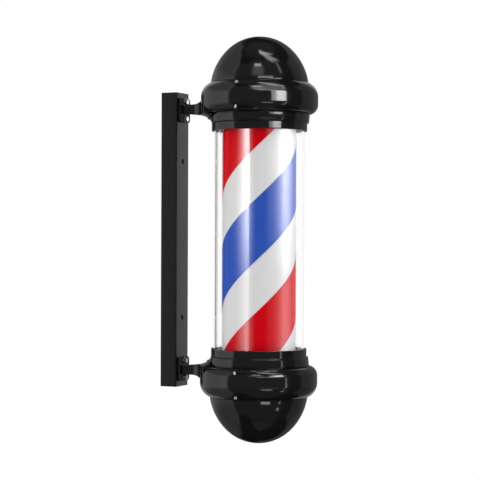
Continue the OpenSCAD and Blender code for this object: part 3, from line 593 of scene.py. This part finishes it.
def helical_film(name, phase, replaces):
    """A film from angle 0 to STRIPE_WIDE and height -FILM_END to FILM_END. Its turn is phase plus
    360 z / lead plus the angle across; its section runs out along its face and back along its back."""
    points_across = 57
    across = np.linspace(0, STRIPE_WIDE, points_across)
    across = np.concatenate([across, across[::-1]])
    r = np.where(np.arange(len(across)) < points_across, FILM_FACE, FILM_BACK)
    z = np.linspace(-FILM_END, FILM_END, 150)
    turn = np.radians(phase + z[:, None] * 360 / STRIPE_LEAD + across[None])
    points = np.stack([r * np.cos(turn), POLE_Y + r * np.sin(turn), np.repeat(z[:, None], len(r), 1)], 2)
    rows, cols = turn.shape
    i, j = np.meshgrid(np.arange(rows - 1), np.arange(cols), indexing="ij")
    side = (j + 1) % cols
    quads = np.stack([i * cols + j, i * cols + side, (i + 1) * cols + side, (i + 1) * cols + j], 2)
    k = np.arange(points_across - 1)
    ends = np.concatenate([np.stack([k + n, k + 1 + n, cols - 2 - k + n, cols - 1 - k + n], 1)
                           for n in (0, (rows - 1) * cols)])
    mesh = bpy.data.meshes.new(name)
    faces = np.concatenate([quads.reshape(-1, 4), ends])
    mesh.from_pydata((points.reshape(-1, 3) * MM).tolist(), [], faces.tolist())
    film = bmesh.new()
    film.from_mesh(mesh)
    bmesh.ops.recalc_face_normals(film, faces=film.faces)
    film.to_mesh(mesh)
    film.free()
    return piece(name, mesh, "drum", replaces)


for hue, phase, colour, shade in (
        ("blue", STRIPE_PHASE, (0.036, 0.108, 0.55, 1), (0.030, 0.096, 0.50, 1)),
        ("red", STRIPE_PHASE + 180, (0.74, 0.001, 0.008, 1), (0.68, 0.001, 0.006, 1))):
    printed = skinned("printed_film_" + hue, moulded,
                      {"Colour": colour, "Shade": shade, "Mottle": 0.5, "Roughness": 0.22, "Spread": 0.08,
                       "Grain Scale": 2600.0}, bump_mm=0.004, Specular_IOR_Level=0.06)
    coat(helical_film(hue + "_stripe_film", phase, [hue + "_stripe"]), printed)

# Drum ends and drive. Moulded discs screwed into the shell; the motor's shaft
# is fixed in the lower disc's hub and the upper disc turns on a bush.
disc_plastic = skinned("disc_plastic_white", moulded,
                       {"Colour": (0.80, 0.78, 0.74, 1), "Shade": (0.70, 0.68, 0.63, 1), "Mottle": 0.4,
                        "Roughness": 0.5, "Spread": 0.15, "Grain Scale": 1200.0}, bump_mm=0.02)
nylon = skinned("nylon_natural", moulded,
                {"Colour": (0.74, 0.71, 0.64, 1), "Shade": (0.64, 0.60, 0.52, 1), "Mottle": 0.4,
                 "Roughness": 0.42, "Spread": 0.12, "Grain Scale": 900.0}, bump_mm=0.02)
rolled_steel = skinned("rolled_sheet_steel", plated,
                       {"Colour": (0.60, 0.61, 0.63, 1), "Stain": 0.5, "Roughness": 0.34, "Scratch": 0.2,
                        "Stretch": (1.0, 0.06, 1.0)}, bump_mm=0.01, Metallic=1.0)
drawn_can = skinned("drawn_steel_can", plated,
                    {"Colour": (0.62, 0.62, 0.63, 1), "Stain": 0.4, "Roughness": 0.28, "Scratch": 0.15,
                     "Stretch": (1.0, 1.0, 0.1)}, bump_mm=0.01, Metallic=1.0)
holder_plastic = skinned("holder_plastic_white", moulded,
                         {"Colour": (0.82, 0.80, 0.76, 1), "Shade": (0.72, 0.70, 0.65, 1), "Mottle": 0.3,
                          "Roughness": 0.25, "Spread": 0.08, "Grain Scale": 700.0}, bump_mm=0.01)
frosted_lamp = skinned("frosted_lamp_white", moulded,
                       {"Colour": (0.90, 0.90, 0.88, 1), "Shade": (0.82, 0.82, 0.80, 1), "Mottle": 0.2,
                        "Roughness": 0.45, "Spread": 0.1, "Grain Scale": 2200.0}, bump_mm=0.01)
terminal_plastic = skinned("terminal_plastic_white", moulded,
                           {"Colour": (0.83, 0.80, 0.72, 1), "Shade": (0.72, 0.68, 0.58, 1), "Mottle": 0.4,
                            "Roughness": 0.4, "Spread": 0.1, "Grain Scale": 1100.0}, bump_mm=0.02)
for finish, nodes in (
        (disc_plastic, ("drum_top_disc", "drum_bottom_disc")),
        (zinc_plate, ("drum_screws", "motor_shaft", "hub_screw", "plate_screws", "lamp_screws",
                      "motor_screws", "motor_nuts", "terminal_screws")),
        (rolled_steel, ("upper_plate", "lower_plate")),
        (nylon, ("top_bush", "thrust_washer")),
        (holder_plastic, ("lamp_holder",)),
        (frosted_lamp, ("led_lamp",)),
        (drawn_can, ("motor",)),
        (terminal_plastic, ("terminal_block",))):
    for node in nodes:
        coat(frame["nodes"][node], finish)

# Room: a pale floor well below the pole, a white background, and the studio's
# own light. What faces the camera is dark, with bright panels to both sides.

# The pole's middle; from here on, lengths are in metres
CENTRE = np.array([0.0, POLE_Y * MM, 0.0])
# The camera's look and its right hand in the plan: the sine and cosine of its turn of 64 degrees
LOOK, RIGHT = np.array([0.8988, 0.4384, 0.0]), np.array([0.4384, -0.8988, 0.0])
# The floor's height and half its width
FLOOR_Z, FLOOR_HALF = -1.2, 3.0

floor_mesh = bpy.data.meshes.new("floor")
floor_corners = [(x * FLOOR_HALF, y * FLOOR_HALF, FLOOR_Z) for x, y in ((-1, -1), (1, -1), (1, 1), (-1, 1))]
floor_mesh.from_pydata(floor_corners, [], [(0, 1, 2, 3)])
floor = bpy.data.objects.new("floor", floor_mesh)
bpy.context.scene.collection.objects.link(floor)
pale = bpy.data.materials.new("pale_floor")
pale.use_nodes = True
tree = pale.node_tree
shader = tree.nodes["Principled BSDF"]
shader.inputs["Base Color"].default_value = (0.92, 0.92, 0.92, 1)
shader.inputs["Roughness"].default_value = 0.9
shader.inputs["Specular IOR Level"].default_value = 0.0
# Three quarters of what the camera sees of the floor is its own glow
glow = tree.nodes.new("ShaderNodeEmission")
glow.inputs["Strength"].default_value = 1.0
floor_path = tree.nodes.new("ShaderNodeLightPath")
share = math_node(tree, "MULTIPLY", floor_path.outputs["Is Camera Ray"], 0.75)
both = tree.nodes.new("ShaderNodeMixShader")
tree.links.new(share, both.inputs[0])
tree.links.new(shader.outputs[0], both.inputs[1])
tree.links.new(glow.outputs[0], both.inputs[2])
# Reflections leave the floor out, and a camera under it sees through it
from_under = math_node(tree, "MULTIPLY", floor_path.outputs["Is Camera Ray"],
                       tree.nodes.new("ShaderNodeNewGeometry").outputs["Backfacing"])
unmirrored = tree.nodes.new("ShaderNodeMixShader")
see_through = math_node(tree, "MAXIMUM", floor_path.outputs["Is Glossy Ray"], from_under)
tree.links.new(see_through, unmirrored.inputs[0])
tree.links.new(both.outputs[0], unmirrored.inputs[1])
tree.links.new(tree.nodes.new("ShaderNodeBsdfTransparent").outputs[0], unmirrored.inputs[2])
tree.links.new(unmirrored.outputs[0], tree.nodes["Material Output"].inputs["Surface"])
floor_mesh.materials.append(pale)

world = bpy.data.worlds.new("studio")
bpy.context.scene.world = world
world.use_nodes = True
world.cycles.sampling_method = "NONE"
room = world.node_tree
room.nodes.clear()
direction = room.nodes.new("ShaderNodeTexCoord").outputs["Generated"]
parts = []
for axis in (RIGHT, -LOOK, (0.0, 0.0, 1.0)):
    dot = room.nodes.new("ShaderNodeVectorMath")
    dot.operation = "DOT_PRODUCT"
    room.links.new(direction, dot.inputs[0])
    dot.inputs[1].default_value = tuple(axis)
    parts.append(dot.outputs["Value"])
to_right, to_camera, up = parts
bearing = math_node(room, "MULTIPLY", math_node(room, "ARCTAN2", to_right, to_camera), 180 / math.pi)
rise = math_node(room, "MULTIPLY", math_node(room, "ARCSINE", up), 180 / math.pi)


def eased(value, start, end):
    """0 where the value is start, 1 where it is end, and a smooth step between them."""
    node = room.nodes.new("ShaderNodeMapRange")
    node.interpolation_type = "SMOOTHSTEP"
    room.links.new(value, node.inputs["Value"])
    node.inputs["From Min"].default_value, node.inputs["From Max"].default_value = start, end
    return node.outputs["Result"]


def bank(left, right, low, high, soft, level, lean=0.0):
    """A bright field between two bearings and two rises, with soft edges; lean moves it to the
    right by that many degrees for each degree of rise."""
    b = math_node(room, "MULTIPLY_ADD", rise, -lean, bearing) if lean else bearing
    sides = math_node(room, "MULTIPLY", eased(b, left - soft, left + soft),
                      eased(b, right + soft, right - soft))
    ends = math_node(room, "MULTIPLY", eased(rise, low - soft, low + soft),
                     eased(rise, high + soft, high - soft))
    return math_node(room, "MULTIPLY", math_node(room, "MULTIPLY", sides, ends), level)


def along(tree, place, curve):
    """The value of a curve of (place, value) pairs, where place is a socket from 0 to 1."""
    shade = tree.nodes.new("ShaderNodeValToRGB")
    tree.links.new(place, shade.inputs[0])
    while len(shade.color_ramp.elements) < len(curve):
        shade.color_ramp.elements.new(0.5)
    for stop, (position, value) in zip(shade.color_ramp.elements, curve):
        stop.position = position
        stop.color = (value, value, value, 1)
    return shade.outputs[0]


# Bearing from straight behind the camera, in degrees to the right, and the brightness there
PANELS = [(-180, 0.08), (-165, 0.13), (-145, 0.24), (-118, 0.34), (-100, 0.43), (-84, 0.52), (-67, 0.66),
          (-61, 0.10), (-56, 0.17), (59, 0.17), (66, 0.05), (87, 0.04), (94, 0.25), (140, 0.22), (180, 0.12)]
all_round = math_node(room, "MULTIPLY_ADD", bearing, 1 / 360, 0.5)
panels = along(room, all_round, [(degrees / 360 + 0.5, level) for degrees, level in PANELS])
steep = math_node(room, "ABSOLUTE", rise)
# The left wall ends at 60 degrees of rise, lower towards the back and round -56; the right one at 43
wall_top = math_node(room, "MULTIPLY_ADD", eased(bearing, -130.0, -186.0), -34.0, 60.0)
wall_top = math_node(room, "MULTIPLY_ADD", eased(bearing, 64.0, 90.0), -17.0, wall_top)
off_corner = math_node(room, "ABSOLUTE", math_node(room, "ADD", bearing, 56.0))
wall_top = math_node(room, "MULTIPLY_ADD", eased(off_corner, 36.0, 2.0), -14.0, wall_top)
under_top = eased(math_node(room, "SUBTRACT", steep, wall_top), 3.0, -3.0)
near_level = math_node(room, "MULTIPLY_ADD", math_node(room, "MULTIPLY", eased(steep, 30.0, 12.0),
                                                       eased(bearing, -58.0, -64.0)), 0.9, 1.0)
from_below = math_node(room, "MULTIPLY_ADD", eased(rise, -10.0, -20.0), -0.28, 1.0)
pattern = math_node(room, "MULTIPLY", panels, under_top)
pattern = math_node(room, "MULTIPLY", math_node(room, "MULTIPLY", pattern, near_level), from_below)
# Ceiling and ground, then the small bright things that the caps mirror, from the top down
for field in (bank(-200, 200, 66, 100, 4, 0.11), bank(-35, 75, -100, -62, 6, 0.15),
              bank(242, 286, 70, 85, 6, 6.5, lean=-3.1), bank(117, 145, 54, 69, 5, 4.2, lean=-1.4),
              bank(53.5, 59, 30, 50, 2, 2.0), bank(-17, 4, 47, 52, 2.5, 8.0),
              bank(-20, 10, 28, 46, 5, 1.1), bank(-4, 32, 21, 25.5, 2, 5.0),
              bank(5, 27, -26.5, -22.5, 2, 6.0), bank(49.5, 54, -37, -33, 1.5, 7.0),
              bank(50, 54, -25, -21, 1.5, 3.0), bank(0, 38, -14.5, -11.5, 1.5, 0.8)):
    pattern = math_node(room, "ADD", pattern, field)
# What the clear tube mirrors: two tall bright strips, and the white room behind the pole
STRIPS = [(-180, 1.0), (-122, 1.0), (-108, 0.1), (-80, 0.05), (-68, 0.25), (-60, 0.8), (-51, 2.5),
          (-42, 5.3), (-34, 8.5), (-28, 8.5), (-24.5, 2.2), (-18, 0.9), (-12, 0.12), (-7, 0.0),
          (15, 0.0), (23, 0.4), (36, 0.9), (46, 1.9), (56, 3.9), (64, 6.7), (72, 7.1), (80, 5.6),
          (88, 3.4), (96, 1.6), (104, 0.9), (114, 1.0), (180, 1.0)]
BRIGHTEST = 9.0
strips = along(room, all_round, [(degrees / 360 + 0.5, level / BRIGHTEST) for degrees, level in STRIPS])
# They fade downwards, the right one further than the left one
right_side = eased(bearing, -10.0, 10.0)
level_with = math_node(room, "MULTIPLY_ADD", right_side, -0.1, 0.95)
taller = math_node(room, "MINIMUM", math_node(room, "MULTIPLY_ADD", rise, 0.17, 1.0),
                   math_node(room, "ADD", math_node(room, "MULTIPLY", rise, 0.37), level_with))
faded = math_node(room, "MULTIPLY_ADD", right_side, -0.09, 0.42)
taller = math_node(room, "MINIMUM", math_node(room, "MAXIMUM", taller, faded), 1.7)
# The tube's near wall mirrors the strips and its far wall the pattern that the rest mirrors; what
# no mirror shows, and what lights matt faces, is plain white
path = room.nodes.new("ShaderNodeLightPath")
mirrored = math_node(room, "GREATER_THAN", path.outputs["Glossy Depth"], 0.5)
scattered = math_node(room, "GREATER_THAN", path.outputs["Diffuse Depth"], 0.5)
off_tube = path.outputs["Is Singular Ray"]
near_wall = math_node(room, "LESS_THAN", path.outputs["Transmission Depth"], 2.5)


def switched(factor, off, on):
    """off where the factor is 0 and on where it is 1."""
    gain = math_node(room, "SUBTRACT", on, off)
    return math_node(room, "MULTIPLY_ADD", gain, factor, off)


# High up, the left strip narrows
narrower = switched(right_side, eased(rise, 1.2, 4.0), 0.0)
strips = math_node(room, "POWER", strips, math_node(room, "MULTIPLY_ADD", narrower, 0.75, 1.0))
strips = math_node(room, "MULTIPLY", math_node(room, "MULTIPLY", strips, BRIGHTEST), taller)
in_front = switched(near_wall, pattern, strips)
tube_sees = switched(eased(math_node(room, "ABSOLUTE", bearing), 108.0, 118.0), in_front, 1.0)
level = switched(scattered, switched(mirrored, 1.0, switched(off_tube, pattern, tube_sees)), 1.0)
sky = room.nodes.new("ShaderNodeBackground")
sky.inputs["Color"].default_value = (1, 1, 1, 1)
room.links.new(level, sky.inputs["Strength"])
room.links.new(sky.outputs[0], room.nodes.new("ShaderNodeOutputWorld").inputs["Surface"])


def only(name, *endings):
    """A collection, outside the scene, of the pieces whose names have one of the endings."""
    group = bpy.data.collections.new(name)
    for made in bpy.context.scene.collection.objects:
        if made.name.endswith(endings):
            group.objects.link(made)
    return group


caps_only = only("caps_only", "_band_turned", "_dome_turned", "_collar_turned")
upper_band_only = only("upper_band_only", "upper_band_turned")
screws_only = only("screws_only", "_screws_turned")
bolts_only = only("bolts_only", "arm_bolts_turned", "arm_washers_turned")
channel_only = only("channel_only", "wall_channel_folded")
cap_rims_only = only("cap_rims_only", "_band_turned", "_collar_turned")

EVEN = [(0, 1), (1, 1)]


def panel(name, bearing, rise, distance, width, height, level, across=EVEN, upward=EVEN, receivers=None,
          glossy=True, diffuse=False, aim=(0, 0, 0)):
    """A flat lamp that faces the pole from a bearing to the right of the camera and a rise above
    the horizon, in degrees. Its brightness is level times a curve across it, left to right as
    the camera's side sees it, times a curve up it; curves are lists of (place, share). Its
    aim is measured from the pole's middle. A lamp with receivers lights those pieces alone; one
    that isn't glossy shows in no reflection."""
    b, e = math.radians(bearing), math.radians(rise)
    ray = math.cos(e) * (math.cos(b) * -LOOK + math.sin(b) * RIGHT) + np.array([0, 0, math.sin(e)])
    data = bpy.data.lights.new(name, "AREA")
    data.shape = "RECTANGLE"
    data.size, data.size_y = width, height
    # With this energy the strength below is the lamp's brightness, where 1 is white
    data.energy = math.pi * width * height
    data.use_nodes = True
    tree = data.node_tree
    emission = tree.nodes["Emission"]
    place = tree.nodes.new("ShaderNodeSeparateXYZ")
    tree.links.new(tree.nodes.new("ShaderNodeNewGeometry").outputs["Parametric"], place.inputs[0])
    share = math_node(tree, "MULTIPLY", along(tree, place.outputs["X"], across),
                      along(tree, place.outputs["Y"], upward))
    strength = math_node(tree, "MULTIPLY", share, level)
    if not glossy:
        reflections = tree.nodes.new("ShaderNodeLightPath").outputs["Glossy Depth"]
        strength = math_node(tree, "MULTIPLY", strength, math_node(tree, "LESS_THAN", reflections, 0.5))
    tree.links.new(strength, emission.inputs["Strength"])
    lamp = bpy.data.objects.new(name, data)
    bpy.context.scene.collection.objects.link(lamp)
    aim = np.array(aim, float)
    lamp.location = CENTRE + aim + distance * ray
    lamp.rotation_euler = Vector(tuple(ray)).to_track_quat("Z", "Y").to_euler()
    lamp.visible_glossy = glossy
    lamp.visible_diffuse = diffuse
    if receivers is not None:
        lamp.light_linking.receiver_collection = receivers


# The window and its edge and glow on the caps
panel("window", 36, 8, 1.06, 0.55, 0.40, 16.0, [(0, 0.3), (0.25, 0.4), (0.42, 1), (0.8, 1), (0.97, 0.75)],
      [(0, 0.6), (0.2, 0.6), (0.28, 1)], receivers=caps_only, aim=(0, 0, 0.235))
panel("window_edge", 52, -7, 1.06, 0.035, 0.62, 4.5, upward=[(0, 1), (0.6, 1), (0.75, 0.3)],
      receivers=caps_only)
panel("window_glow", 20, 43, 1.5, 1.6, 1.1, 2.0, receivers=upper_band_only, aim=(0, 0, 0.235))
# Lights for the screws, the bolts, the channel's front and the caps' rims
panel("screw_light", -68, 0, 1.5, 0.35, 0.9, 11.0, receivers=screws_only)
panel("bolt_light", 118, 8, 2.0, 0.9, 0.9, 2.4, receivers=bolts_only)
panel("channel_light", 126, 0, 2.0, 1.6, 1.6, 0.74, upward=[(0, 0.65), (1, 1.1)], receivers=channel_only)
panel("rims_above", 180, 38, 1.5, 1.6, 0.9, 0.45, receivers=cap_rims_only)
panel("rims_below", 180, -38, 1.5, 1.6, 0.9, 0.3, receivers=cap_rims_only)
# Two lamps that shape the drum and the rest without showing in them
panel("shape_left", -66, 10, 2.0, 0.9, 1.8, 1.4, glossy=False, diffuse=True)
panel("shape_right", 66, 10, 2.0, 0.9, 1.8, 1.9, glossy=False, diffuse=True)

# Camera: 2.7 m from the pole at its mid-height, turned 64 degrees towards the
# channel's side, with a long lens.
DISTANCE, TO_THE_RIGHT, DOWN = 2.7, -0.0317, 0.0004
TURN, ROLL = math.radians(-64), math.radians(-0.21)
camera_data = bpy.data.cameras.new("camera")
camera_data.lens, camera_data.sensor_width = 122, 36
camera = bpy.data.objects.new("camera", camera_data)
bpy.context.scene.collection.objects.link(camera)
camera.location = CENTRE + np.array([0, 0, -DOWN]) - DISTANCE * LOOK + TO_THE_RIGHT * RIGHT
camera.rotation_euler = (math.radians(90), ROLL, TURN)
bpy.context.scene.camera = camera
bpy.context.scene.view_settings.view_transform = "Standard"
